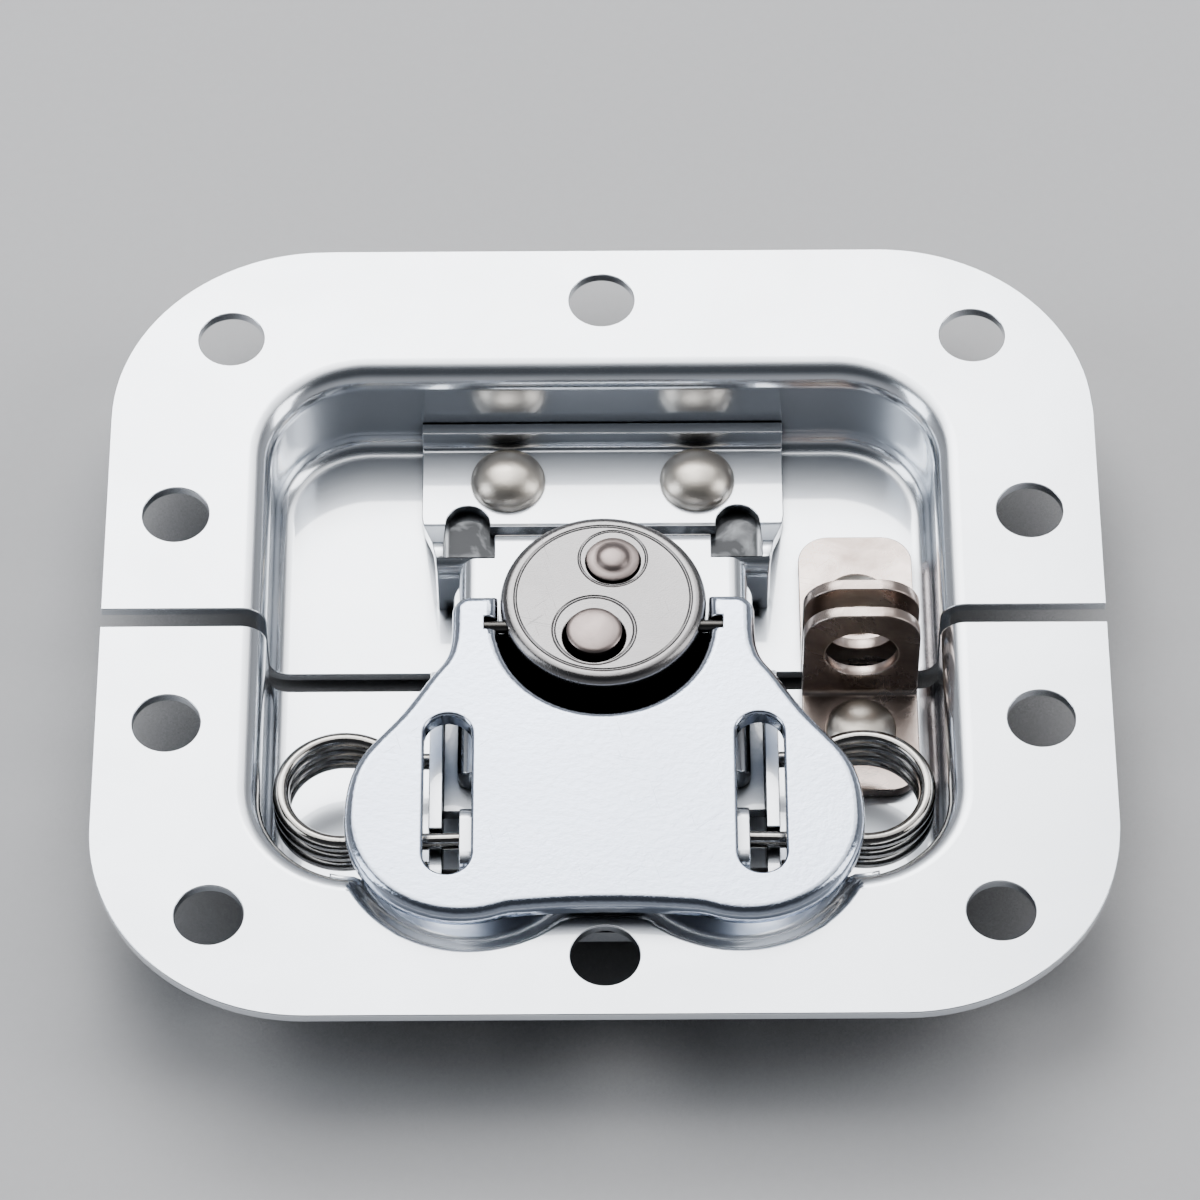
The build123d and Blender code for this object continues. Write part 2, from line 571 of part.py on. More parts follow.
def wing_pin(side):
    """Short pin in the disc's edge that the wing's horn folds on."""
    inner = side * (HORN_INNER_X - WING_PIN_IN)
    outer = side * (HORN_INNER_X + WING_PIN_OUT)
    return crossbar(WING_PIN_Y, WING_PIN_Z, WING_PIN_R, min(inner, outer), max(inner, outer))


# ---------------------------------------------------------------- butterfly wing
def wing_outline():
    """Right half of the outline, from the middle of the front edge round to the middle of the cut-out."""
    angle = radians(LOBE_INNER_DEG)
    inner = (LOBE[0] + LOBE_R * cos(angle), LOBE[1] + LOBE_R * sin(angle))
    widest = (LOBE[0] + LOBE_R, LOBE[1])
    horn_foot = (HORN_OUTER_X, WING_PIN_Y)
    front = ThreePointArc((-inner[0], inner[1]), (0, WING_MIDDLE_Y), inner)
    half = [CenterArc(LOBE, LOBE_R, LOBE_INNER_DEG, -LOBE_INNER_DEG),
            Spline(widest, *WAIST, horn_foot, tangents=[(0, 1), (0, 1)]),
            Polyline(horn_foot, (HORN_OUTER_X, HORN_TIP_Y), (HORN_INNER_X, HORN_TIP_Y),
                     (HORN_INNER_X, WING_PIN_Y))]
    cutout = CenterArc((0, WING_PIN_Y), HORN_INNER_X, 180, 180)
    lines = [front, cutout] + half + [mirror(line, about=Plane.YZ) for line in half]
    face = make_face(Curve() + lines)
    horn_corners = [v for v in face.vertices()
                    if v.Y > HORN_TIP_Y - SLIDING and abs(v.X) > HORN_OUTER_X - SLIDING]
    face = fillet(horn_corners, radius=HORN_CORNER_R)
    dips = [v for v in face.vertices() if abs(abs(v.X) - inner[0]) < SLIDING and v.Y < LOBE[1]]
    return fillet(dips, radius=LOBE_R / 2)


def butterfly_wing():
    """Two-lobed handle, rounded on top, with a long slot in each lobe and a pin pocket in each horn."""
    face = wing_outline()
    body = prism(face, WING_Z, WING_Z + WING_SHEET)
    body = fillet(body.edges().group_by(Axis.Z)[-1], radius=WING_EDGE_R)
    for side in (-1, 1):
        x, y = side * WING_SLOT[0], WING_SLOT[1]
        slot = Pos(x, y) * SlotOverall(WING_SLOT_LENGTH, WING_SLOT_WIDTH, rotation=90)
        body -= prism(slot, 0, TALL)
        slot_rim = [e for e in body.edges().group_by(Axis.Z)[-1]
                    if abs(e.center().X - x) < WING_SLOT_WIDTH and abs(e.center().Y - y) < WING_SLOT_LENGTH]
        body = fillet(slot_rim, radius=WING_SLOT_EDGE_R)
        pocket_x = side * (HORN_INNER_X + POCKET_SIZE / 2)
        body -= prism(Pos(pocket_x, WING_PIN_Y) * Rectangle(POCKET_SIZE, 2 * (WING_PIN_R + LOOSE)), 0, TALL)
        far = side * (HORN_INNER_X + WING_PIN_OUT + LOOSE)
        body -= crossbar(WING_PIN_Y, WING_PIN_Z, WING_PIN_R + RUNNING, min(0, far), max(0, far))
    return body


# ---------------------------------------------------------------- write every node
nodes = {
    "upper_dish": upper_dish(),
    "keeper": keeper(),
    "keeper_rivet_left": keeper_rivet(-1),
    "keeper_rivet_right": keeper_rivet(1),
    "upper_hasp": hasp(UPPER_HASP_END_Y, UPPER_HASP_RIVET_Y),
    "upper_hasp_rivet": floor_rivet(HASP_X, UPPER_HASP_RIVET_Y, FLOOR_Z + HASP_SHEET),
    "lower_dish": lower_dish(),
    "lower_hasp": mirror(hasp(LOWER_HASP_END_Y, LOWER_HASP_RIVET_Y), about=Plane.XZ),
    "lower_hasp_rivet": floor_rivet(HASP_X, -LOWER_HASP_RIVET_Y, FLOOR_Z + HASP_SHEET),
    "base_bracket": base_bracket(),
    "base_rivet_left": floor_rivet(-BASE_RIVET[0], BASE_RIVET[1], FLOOR_Z + BRACKET_SHEET),
    "base_rivet_right": floor_rivet(BASE_RIVET[0], BASE_RIVET[1], FLOOR_Z + BRACKET_SHEET),
    "hinge_pin": hinge_pin(),
    "carrier": carrier(),
    "spring_left": spring_left(),
    "spring_right": swap_x(spring_left()),
    "hook_plate": hook_plate(),
    "cam_disc": cam_disc(),
    "rotor_plate": rotor_plate(),
    "pivot_rivet": pivot_rivet(),
    "crank_rivet": crank_rivet(),
    "wing_pin_left": wing_pin(-1),
    "wing_pin_right": wing_pin(1),
    "butterfly_wing": butterfly_wing(),
}

os.makedirs("parts", exist_ok=True)
for name, shape in nodes.items():
    export_step(shape, f"parts/{name}.step")
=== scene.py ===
import json
from math import cos, pi, radians, sin

import bpy
from bpy.props import FloatProperty, FloatVectorProperty, PointerProperty
from bpy.types import NodeSocket, Operator, Panel, PropertyGroup
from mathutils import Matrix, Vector

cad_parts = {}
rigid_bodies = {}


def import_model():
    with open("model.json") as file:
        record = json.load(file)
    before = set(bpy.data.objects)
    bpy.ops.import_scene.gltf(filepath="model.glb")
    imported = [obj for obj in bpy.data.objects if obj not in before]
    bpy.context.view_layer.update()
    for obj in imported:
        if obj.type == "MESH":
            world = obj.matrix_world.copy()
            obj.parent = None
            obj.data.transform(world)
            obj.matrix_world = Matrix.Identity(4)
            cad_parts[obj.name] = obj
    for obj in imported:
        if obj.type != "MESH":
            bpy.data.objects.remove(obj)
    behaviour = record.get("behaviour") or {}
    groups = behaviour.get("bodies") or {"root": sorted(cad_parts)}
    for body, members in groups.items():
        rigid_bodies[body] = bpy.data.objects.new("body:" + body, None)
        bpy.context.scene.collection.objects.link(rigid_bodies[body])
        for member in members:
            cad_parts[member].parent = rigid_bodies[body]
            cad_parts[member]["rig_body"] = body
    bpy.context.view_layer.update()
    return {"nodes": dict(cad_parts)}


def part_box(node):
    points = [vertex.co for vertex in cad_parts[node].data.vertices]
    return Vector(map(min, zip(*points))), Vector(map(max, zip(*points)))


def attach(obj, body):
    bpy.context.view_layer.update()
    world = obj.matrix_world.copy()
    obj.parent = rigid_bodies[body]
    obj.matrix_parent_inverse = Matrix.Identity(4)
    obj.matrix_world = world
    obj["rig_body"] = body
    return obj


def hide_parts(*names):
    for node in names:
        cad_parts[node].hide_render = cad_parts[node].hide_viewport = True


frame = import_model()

bl_info = {
    "name": "Butterfly case latch",
    "version": (1, 0, 0),
    "blender": (4, 5, 0),
    "location": "3D View > Sidebar > Case Latch",
    "description": "Dresses a recessed butterfly latch: plated sheet, rivets, springs, wing and studio",
    "category": "Object",
}

MM = 0.001
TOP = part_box("upper_dish")[1][2]

# the plated disc is a hair wider than its bare steel and is riveted on a little towards the wing
DISC_GROWTH = 1.02
DISC_SETTLE = 0.5 * MM
# the springs' wire is a little thicker once plated, still loose in its holes
WIRE_PLATING = 0.12 * MM


# ---------------------------------------------------------------- settings
class LatchSizes(PropertyGroup):
    """Small sizes that finish the pieces."""
    cut_edge: FloatProperty(
        name="Cut edge", description="Rounding left on sheared sheet edges by blanking and plating",
        default=0.14 * MM, min=0.02 * MM, max=0.4 * MM, unit="LENGTH", precision=5)
    wire_edge: FloatProperty(
        name="Pin edge", description="Rounding on the ends of pins and wire",
        default=0.12 * MM, min=0.02 * MM, max=0.4 * MM, unit="LENGTH", precision=5)


class LatchFinishes(PropertyGroup):
    """Colours and gloss of the platings."""
    zinc_tint: FloatVectorProperty(
        name="Zinc", description="Colour of the bright zinc plating", subtype="COLOR",
        default=(0.74, 0.78, 0.84), min=0.0, max=1.0)
    wing_tint: FloatVectorProperty(
        name="Wing zinc", description="Colour of the bluer zinc on the butterfly wing", subtype="COLOR",
        default=(0.44, 0.50, 0.62), min=0.0, max=1.0)
    zinc_roughness: FloatProperty(
        name="Zinc roughness", description="Gloss of the flat zinc plating",
        default=0.20, min=0.0, max=1.0, subtype="FACTOR")
    disc_tint: FloatVectorProperty(
        name="Disc", description="Colour of the satin turning disc", subtype="COLOR",
        default=(0.22, 0.213, 0.214), min=0.0, max=1.0)
    nickel_tint: FloatVectorProperty(
        name="Rivet nickel", description="Colour of the nickel on the rivets", subtype="COLOR",
        default=(0.56, 0.515, 0.455), min=0.0, max=1.0)
    cap_tint: FloatVectorProperty(
        name="Cap nickel", description="Colour of the pinkish nickel on the disc's rivet caps",
        subtype="COLOR", default=(0.27, 0.225, 0.213), min=0.0, max=1.0)
    hasp_tint: FloatVectorProperty(
        name="Hasp nickel", description="Colour of the older nickel on the padlock ears", subtype="COLOR",
        default=(0.56, 0.48, 0.44), min=0.0, max=1.0)
    wire_tint: FloatVectorProperty(
        name="Spring wire", description="Colour of the polished spring wire", subtype="COLOR",
        default=(0.34, 0.325, 0.305), min=0.0, max=1.0)


class LatchStudio(PropertyGroup):
    """Floor and lights."""
    floor_tint: FloatVectorProperty(
        name="Floor", description="Colour of the plain pale floor", subtype="COLOR",
        default=(0.50, 0.50, 0.51), min=0.0, max=1.0)
    key_power: FloatProperty(
        name="Key light", description="Power of the large softbox behind the latch",
        default=58.0, min=0.0, soft_max=200.0, subtype="POWER")
    fill_power: FloatProperty(
        name="Fill light", description="Power of each side softbox",
        default=7.0, min=0.0, soft_max=100.0, subtype="POWER")


# ---------------------------------------------------------------- modelling by hand
WELD = 1e-6
LEVEL_DEG = 0.15
SHARP_DEG = 40
SMOOTH_DEG = 42
EDGE_SEGMENTS = 3
TURNED_SIDES = 72
TURNED_SMOOTH_DEG = 34


def clear_selection():
    """Leaves edit mode and selects nothing."""
    if bpy.context.object and bpy.context.object.mode != "OBJECT":
        bpy.ops.object.mode_set(mode="OBJECT")
    bpy.ops.object.select_all(action="DESELECT")


def take(piece):
    """Makes one object the only selected and the active one."""
    clear_selection()
    piece.select_set(True)
    bpy.context.view_layer.objects.active = piece


def merged_copy(node, name):
    """Copy of a frame solid with its corners merged and its flat faces joined."""
    piece = bpy.data.objects.new(name, frame["nodes"][node].data.copy())
    piece.data.name = name
    piece.data.materials.clear()
    bpy.context.scene.collection.objects.link(piece)
    take(piece)
    bpy.ops.object.mode_set(mode="EDIT")
    bpy.ops.mesh.select_all(action="SELECT")
    bpy.ops.mesh.remove_doubles(threshold=WELD)
    bpy.ops.mesh.dissolve_limited(angle_limit=radians(LEVEL_DEG))
    bpy.ops.object.mode_set(mode="OBJECT")
    return piece


def soften(piece, width):
    """Breaks the sharp edges and gives the faces clean smooth shading."""
    take(piece)
    edge = piece.modifiers.new("Broken edges", "BEVEL")
    edge.width = width
    edge.segments = EDGE_SEGMENTS
    edge.limit_method = "ANGLE"
    edge.angle_limit = radians(SHARP_DEG)
    edge.use_clamp_overlap = False
    bpy.ops.object.modifier_apply(modifier=edge.name)
    bpy.ops.object.shade_smooth_by_angle(angle=radians(SMOOTH_DEG))
    flats = piece.modifiers.new("Flat faces", "WEIGHTED_NORMAL")
    flats.keep_sharp = True
    bpy.ops.object.modifier_apply(modifier=flats.name)


def thicken(piece, depth):
    """Moves every face outwards, as a thick plating does."""
    take(piece)
    bpy.ops.object.mode_set(mode="EDIT")
    bpy.ops.mesh.select_all(action="SELECT")
    bpy.ops.transform.shrink_fatten(value=depth)
    bpy.ops.object.mode_set(mode="OBJECT")


def turned(name, centre, rings):
    """Turned solid: a round face drawn up through rings of radius and height, in mm."""
    x, y = centre
    radius, height = rings[0]
    clear_selection()
    bpy.ops.mesh.primitive_circle_add(vertices=TURNED_SIDES, radius=radius * MM, fill_type="NGON",
                                      location=(x, y, height * MM))
    piece = bpy.context.object
    piece.name = name
    piece.data.name = name
    bpy.ops.object.mode_set(mode="EDIT")
    bpy.ops.mesh.select_mode(type="FACE")
    bpy.ops.mesh.select_all(action="SELECT")
    for next_radius, next_height in rings[1:]:
        rise = (next_height - height) * MM
        bpy.ops.mesh.extrude_region_move(TRANSFORM_OT_translate={"value": (0.0, 0.0, rise)})
        growth = next_radius / radius
        bpy.ops.transform.resize(value=(growth, growth, 1.0), center_override=(x, y, next_height * MM))
        radius, height = next_radius, next_height
    bpy.ops.mesh.select_all(action="SELECT")
    bpy.ops.mesh.normals_make_consistent(inside=False)
    bpy.ops.object.mode_set(mode="OBJECT")
    bpy.ops.object.transform_apply(location=True, rotation=True, scale=True)
    bpy.ops.object.shade_smooth_by_angle(angle=radians(TURNED_SMOOTH_DEG))
    return piece


def placed_copy(piece, name, shift):
    """Second copy of a finished shape, with its own mesh, moved by shift."""
    take(piece)
    bpy.ops.object.duplicate(linked=False)
    twin = bpy.context.object
    twin.name = name
    twin.data.name = name
    bpy.ops.transform.translate(value=shift)
    bpy.ops.object.transform_apply(location=True, rotation=True, scale=True)
    return twin


def middle(node):
    """Plan position of the middle of a frame solid."""
    low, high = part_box(node)
    return (low[0] + high[0]) / 2, (low[1] + high[1]) / 2


def dress(piece, node, finish):
    """Gives a finished piece its material and puts it in the place of a frame solid."""
    piece.data.materials.clear()
    piece.data.materials.append(finish)
    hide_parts(node)
    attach(piece, frame["nodes"][node]["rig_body"])


def sheet_piece(node, finish, width):
    """Dresses a frame solid whose shape is right: edges broken by width, finish on."""
    piece = merged_copy(node, node + "_plated")
    soften(piece, width)
    dress(piece, node, finish)
    return piece


# ---------------------------------------------------------------- shader helpers
VECTOR = "NodeSocketVector"
VALUE = "NodeSocketFloat"


def add_node(tree, kind, place, **values):
    """Adds a shader node and sets its properties."""
    item = tree.nodes.new(kind)
    item.location = place
    for key, value in values.items():
        setattr(item, key, value)
    return item


def feed(tree, socket, value):
    """Links an input to another node's output, or gives it a plain value."""
    if isinstance(value, NodeSocket):
        tree.links.new(value, socket)
    else:
        socket.default_value = value


def calc(tree, place, operation, *values):
    """Result of a Math node."""
    item = add_node(tree, "ShaderNodeMath", place, operation=operation)
    for socket, value in zip(item.inputs, values):
        feed(tree, socket, value)
    return item.outputs["Value"]


def vector_calc(tree, place, operation, *values):
    """Vector Math node."""
    item = add_node(tree, "ShaderNodeVectorMath", place, operation=operation)
    for socket, value in zip(item.inputs, values):
        feed(tree, socket, value)
    return item


def noise(tree, place, vector, scale, detail=2.0, roughness=0.5, distortion=0.0):
    """Value of a noise texture."""
    item = add_node(tree, "ShaderNodeTexNoise", place)
    for label, value in (("Vector", vector), ("Scale", scale), ("Detail", detail),
                         ("Roughness", roughness), ("Distortion", distortion)):
        feed(tree, item.inputs[label], value)
    return item.outputs["Fac"]


def map_range(tree, place, value, low, high, to_low=0.0, to_high=1.0, ease="LINEAR"):
    """Value moved from one range to another and held inside it."""
    item = add_node(tree, "ShaderNodeMapRange", place, interpolation_type=ease)
    for label, part in (("Value", value), ("From Min", low), ("From Max", high),
                        ("To Min", to_low), ("To Max", to_high)):
        feed(tree, item.inputs[label], part)
    return item.outputs["Result"]


def ramp(tree, place, value, low, high, ease="EASE"):
    """Black up to low, white from high."""
    item = add_node(tree, "ShaderNodeValToRGB", place)
    item.color_ramp.interpolation = ease
    item.color_ramp.elements[0].position = low
    item.color_ramp.elements[1].position = high
    tree.links.new(value, item.inputs["Fac"])
    return item.outputs["Color"]


def blend(tree, place, factor, first, second, kind="RGBA", way="MIX"):
    """Blend of two colours, or of two values where kind says so."""
    item = add_node(tree, "ShaderNodeMix", place, data_type=kind, blend_type=way)
    for label, part in (("Factor", factor), ("A", first), ("B", second)):
        feed(tree, item.inputs[label], part)
    return item.outputs["Result"]


def separate(tree, place, vector):
    """The three parts of a vector."""
    item = add_node(tree, "ShaderNodeSeparateXYZ", place)
    tree.links.new(vector, item.inputs["Vector"])
    return item.outputs


# ---------------------------------------------------------------- shared effects
def new_group(name, inputs, output="Mask"):
    """Empty shader group: its given values, and the socket that its result goes to."""
    tree = bpy.data.node_groups.new(name, "ShaderNodeTree")
    for label, kind, value in inputs:
        socket = tree.interface.new_socket(label, in_out="INPUT", socket_type=kind)
        if value is not None:
            socket.default_value = value
    tree.interface.new_socket(output, in_out="OUTPUT", socket_type=VALUE)
    start = add_node(tree, "NodeGroupInput", (-1000, 0))
    end = add_node(tree, "NodeGroupOutput", (700, 0))
    return tree, start.outputs, end.inputs[output]


# direction in degrees, then waves per metre along and across each family of scratches
SCRATCH_RUNS = ((12, 150, 7500), (-38, 220, 9000), (74, 180, 8200))
SCRATCH_DOWN = 400.0


def scratches_group():
    """Fine straight scratches in three directions, gathered in patches."""
    tree, given, mask = new_group("Fine scratches", [
        ("Vector", VECTOR, None), ("Spread", VALUE, 90.0), ("Amount", VALUE, 0.5)])
    cloud = noise(tree, (-600, -500), given["Vector"], given["Spread"])
    patches = ramp(tree, (-350, -500), cloud, 0.42, 0.66)
    runs = []
    for step, (turn, along, across) in enumerate(SCRATCH_RUNS):
        high = 300 - 260 * step
        place = add_node(tree, "ShaderNodeMapping", (-600, high), vector_type="POINT")
        place.inputs["Rotation"].default_value = (0.0, 0.0, radians(turn))
        place.inputs["Location"].default_value = (0.31 * step, 0.17 * step, 0.05)
        tree.links.new(given["Vector"], place.inputs["Vector"])
        stretch = vector_calc(tree, (-430, high), "MULTIPLY", place.outputs["Vector"],
                              (along, across, SCRATCH_DOWN))
        streaks = noise(tree, (-260, high), stretch.outputs["Vector"], 1.0, detail=1.0)
        runs.append(ramp(tree, (-80, high), streaks, 0.69, 0.78, "LINEAR"))
    first_two = calc(tree, (180, 40), "MAXIMUM", runs[0], runs[1])
    all_runs = calc(tree, (180, -220), "MAXIMUM", first_two, runs[2])
    patchy = calc(tree, (360, -100), "MULTIPLY", all_runs, patches)
    tree.links.new(calc(tree, (530, -100), "MULTIPLY", patchy, given["Amount"]), mask)


def skin_group():
    """Soft uneven skin that plating and tumbling leave, with a finer grain on it."""
    tree, given, height = new_group("Plating skin", [
        ("Vector", VECTOR, None), ("Ripple", VALUE, 900.0), ("Grain", VALUE, 5200.0),
        ("Grain Share", VALUE, 0.35)], output="Height")
    ripple = noise(tree, (-500, 200), given["Vector"], given["Ripple"])
    grain = noise(tree, (-500, -100), given["Vector"], given["Grain"])
    tree.links.new(blend(tree, (100, 0), given["Grain Share"], ripple, grain, kind="FLOAT"), height)


def haze_group():
    """Broad uneven haze left by handling and plating, from 0 clear to 1 hazy."""
    tree, given, mask = new_group("Haze", [
        ("Vector", VECTOR, None), ("Size", VALUE, 55.0), ("Contrast", VALUE, 1.0)])
    cloud = noise(tree, (-500, 100), given["Vector"], given["Size"], detail=5.0, roughness=0.62,
                  distortion=0.6)
    tree.links.new(map_range(tree, (0, 100), cloud, 0.3, 0.7, to_high=given["Contrast"]), mask)


def edge_group():
    """Bright worn line along edges, broken up by noise."""
    tree, given, mask = new_group("Edge wear", [
        ("Vector", VECTOR, None), ("Reach", VALUE, 0.25 * MM), ("Amount", VALUE, 0.8)])
    round_off = add_node(tree, "ShaderNodeBevel", (-650, 250), samples=4)
    tree.links.new(given["Reach"], round_off.inputs["Radius"])
    true_face = add_node(tree, "ShaderNodeNewGeometry", (-650, 50))
    match = vector_calc(tree, (-430, 150), "DOT_PRODUCT", round_off.outputs["Normal"],
                        true_face.outputs["Normal"])
    edge = map_range(tree, (-250, 150), match.outputs["Value"], 0.995, 0.90)
    rub = noise(tree, (-430, -150), given["Vector"], 420.0, detail=4.0)
    broken = calc(tree, (100, 0), "MULTIPLY", edge, ramp(tree, (-250, -150), rub, 0.36, 0.60))
    tree.links.new(calc(tree, (350, 0), "MULTIPLY", broken, given["Amount"]), mask)


def gap_shade_group():
    """Painted shade from ambient occlusion: open faces at 1, falling to the floor value deep in gaps between
    pieces.
    """
    tree, given, mask = new_group("Painted gap shade", [("Reach", VALUE, 4.0 * MM), ("Floor", VALUE, 0.12)])
    shade = add_node(tree, "ShaderNodeAmbientOcclusion", (-600, 0), samples=6)
    tree.links.new(given["Reach"], shade.inputs["Distance"])
    open_face = map_range(tree, (-200, 0), shade.outputs["AO"], 0.20, 0.68, to_low=given["Floor"],
                          ease="SMOOTHSTEP")
    tree.links.new(open_face, mask)


def level_group():
    """Level faces of a sheet at 1, bends and drawn walls at 0."""
    tree, given, mask = new_group("Level faces", [("Normal", VECTOR, None)])
    upward = separate(tree, (-600, 0), given["Normal"])["Z"]
    tree.links.new(map_range(tree, (-200, 0), upward, 0.80, 0.99, ease="SMOOTHSTEP"), mask)


def offset_in_mm(tree, given):
    """How far the point is from the group's centre, in mm."""
    to_mm = vector_calc(tree, (-800, 100), "MULTIPLY", given["Vector"], (1.0 / MM,) * 3)
    offset = vector_calc(tree, (-620, 100), "SUBTRACT", to_mm.outputs["Vector"], given["Centre"])
    return offset.outputs["Vector"]


def patch_group():
    """Painted shade: 1 outside an oblong patch, falling to 0 inside it, in mm."""
    tree, given, mask = new_group("Painted shade patch", [
        ("Vector", VECTOR, None), ("Centre", VECTOR, None), ("Half Size", VECTOR, None),
        ("Fade", VALUE, 0.8)])
    size = vector_calc(tree, (-440, 100), "ABSOLUTE", offset_in_mm(tree, given))
    past = vector_calc(tree, (-260, 100), "SUBTRACT", size.outputs["Vector"], given["Half Size"])
    sides = separate(tree, (-80, 100), past.outputs["Vector"])
    wider = calc(tree, (100, 100), "MAXIMUM", sides["X"], sides["Y"])
    tree.links.new(map_range(tree, (300, 100), wider, 0.0, given["Fade"], ease="SMOOTHSTEP"), mask)


def groove_group():
    """Thin round groove about an upright axis, in mm."""
    tree, given, mask = new_group("Round groove", [
        ("Vector", VECTOR, None), ("Centre", VECTOR, None), ("Radius", VALUE, 4.0), ("Width", VALUE, 0.15)])
    flat = vector_calc(tree, (-340, 100), "MULTIPLY", offset_in_mm(tree, given), (1.0, 1.0, 0.0))
    reach = vector_calc(tree, (-160, 100), "LENGTH", flat.outputs["Vector"])
    gap = calc(tree, (20, 100), "SUBTRACT", reach.outputs["Value"], given["Radius"])
    size = calc(tree, (200, 100), "ABSOLUTE", gap)
    tree.links.new(map_range(tree, (380, 100), size, 0.0, given["Width"], 1.0, 0.0, "SMOOTHSTEP"), mask)


EFFECTS = (scratches_group, skin_group, haze_group, edge_group, gap_shade_group, level_group, patch_group,
           groove_group)


# ---------------------------------------------------------------- finishes
WORN_REACH = 0.22 * MM
WORN_AMOUNT = 0.8
HAZE_DULLS = 0.08
SCRATCH_DULLS = 0.16
SCRATCH_DEPTH = 0.25


def effect(tree, name, place, values):
    """Result of a shared effect, placed in a material with that material's own values."""
    item = add_node(tree, "ShaderNodeGroup", place, node_tree=bpy.data.node_groups[name])
    for label, value in values.items():
        feed(tree, item.inputs[label], value)
    return item.outputs[0]


def painted_shade_factor(tree, spot, gap_reach, shade_patch):
    """Unshaded metal at 1, falling towards 0 where shade is painted: in gaps between pieces and in a mottled
    oblong patch.
    """
    unshaded = effect(tree, "Painted gap shade", (-300, 650), {"Reach": gap_reach * MM})
    if shade_patch is None:
        return unshaded
    centre, half_size = shade_patch
    patch = effect(tree, "Painted shade patch", (-300, 900), {
        "Vector": spot, "Centre": (*centre, 0.0), "Half Size": (*half_size, 1.0)})
    # painted shade inside the patch, mottled, from 0.03 to 0.13 of full brightness
    shade_mottle = noise(tree, (-500, 1050), spot, 240.0, detail=4.0, distortion=1.2)
    shade_depth = map_range(tree, (-300, 1100), shade_mottle, 0.50, 0.72, 0.03, 0.13)
    patch_unshaded = map_range(tree, (-100, 900), patch, 0.0, 1.0, to_low=shade_depth)
    return calc(tree, (80, 800), "MULTIPLY", unshaded, patch_unshaded)


def relief(tree, spot, lines, skin, ripple, grain_share, grooves, groove_depth):
    """Normal bent by the plating's skin, its scratches and any turned grooves."""
    height = effect(tree, "Plating skin", (-600, -150), {
        "Vector": spot, "Ripple": ripple, "Grain Share": grain_share})
    height = calc(tree, (-300, -150), "MULTIPLY_ADD", lines, -SCRATCH_DEPTH, height)
    for step, (centre, radius, width) in enumerate(grooves):
        groove = effect(tree, "Round groove", (-600, -700 - 250 * step), {
            "Vector": spot, "Centre": (centre[0] / MM, centre[1] / MM, 0.0),
            "Radius": radius, "Width": width})
        height = calc(tree, (-100, -500 - 200 * step), "MULTIPLY_ADD", groove, -groove_depth, height)
    bump = add_node(tree, "ShaderNodeBump", (300, -200))
    bump.inputs["Strength"].default_value = 1.0
    bump.inputs["Distance"].default_value = skin * MM
    tree.links.new(height, bump.inputs["Height"])
    return bump.outputs["Normal"]


def plated(name, tint, worn_tint, roughness, cloud_tint=None, haze=0.5, haze_size=55.0, scratch=0.5,
           skin=0.02, ripple=900.0, grain_share=0.35, mirror=0.0, flat_satin=0.0, gap_reach=3.5,
           shade_patch=None, grooves=(), groove_depth=2.0):
    """Plated metal: haze in the gloss, fine scratches, an uneven skin, painted shade in gaps and bright
    rubbed edges.
    """
    finish = bpy.data.materials.new(name)
    finish.use_nodes = True
    tree = finish.node_tree
    tree.nodes.clear()
    out = add_node(tree, "ShaderNodeOutputMaterial", (900, 0))
    metal = add_node(tree, "ShaderNodeBsdfPrincipled", (600, 0))
    metal.inputs["Metallic"].default_value = 1.0
    metal.inputs["Coat Roughness"].default_value = 0.05
    metal.inputs["Coat IOR"].default_value = 2.6
    tree.links.new(metal.outputs["BSDF"], out.inputs["Surface"])
    where = add_node(tree, "ShaderNodeTexCoord", (-900, 0))
    spot = where.outputs["Object"]
    hazy = effect(tree, "Haze", (-600, 300), {"Vector": spot, "Size": haze_size, "Contrast": haze})
    lines = effect(tree, "Fine scratches", (-600, 100), {"Vector": spot, "Amount": scratch})
    worn = effect(tree, "Edge wear", (-600, -400), {
        "Vector": spot, "Reach": WORN_REACH, "Amount": WORN_AMOUNT})
    level = effect(tree, "Level faces", (-600, 520), {"Normal": where.outputs["Normal"]})
    unshaded = painted_shade_factor(tree, spot, gap_reach, shade_patch)

    hazy_tint = cloud_tint or [part * 0.90 for part in tint]
    colour = blend(tree, (-300, 400), hazy, (*tint, 1.0), (*hazy_tint, 1.0))
    colour = blend(tree, (0, 300), worn, colour, (*worn_tint, 1.0))
    # painted shade: colour darkened, and the coat's reflection weakened, in gaps and in the patch under the
    # keeper's window
    colour = blend(tree, (250, 350), 1.0, colour, unshaded, way="MULTIPLY")
    tree.links.new(colour, metal.inputs["Base Color"])
    tree.links.new(calc(tree, (250, 550), "MULTIPLY", unshaded, mirror), metal.inputs["Coat Weight"])

    dull = calc(tree, (-300, 150), "MULTIPLY_ADD", hazy, HAZE_DULLS, roughness - 0.02)
    dull = calc(tree, (-50, 50), "MULTIPLY_ADD", lines, SCRATCH_DULLS, dull)
    dull = calc(tree, (150, 50), "MULTIPLY_ADD", level, flat_satin, dull)
    tree.links.new(dull, metal.inputs["Roughness"])
    tree.links.new(relief(tree, spot, lines, skin, ripple, grain_share, grooves, groove_depth),
                   metal.inputs["Normal"])
    return finish


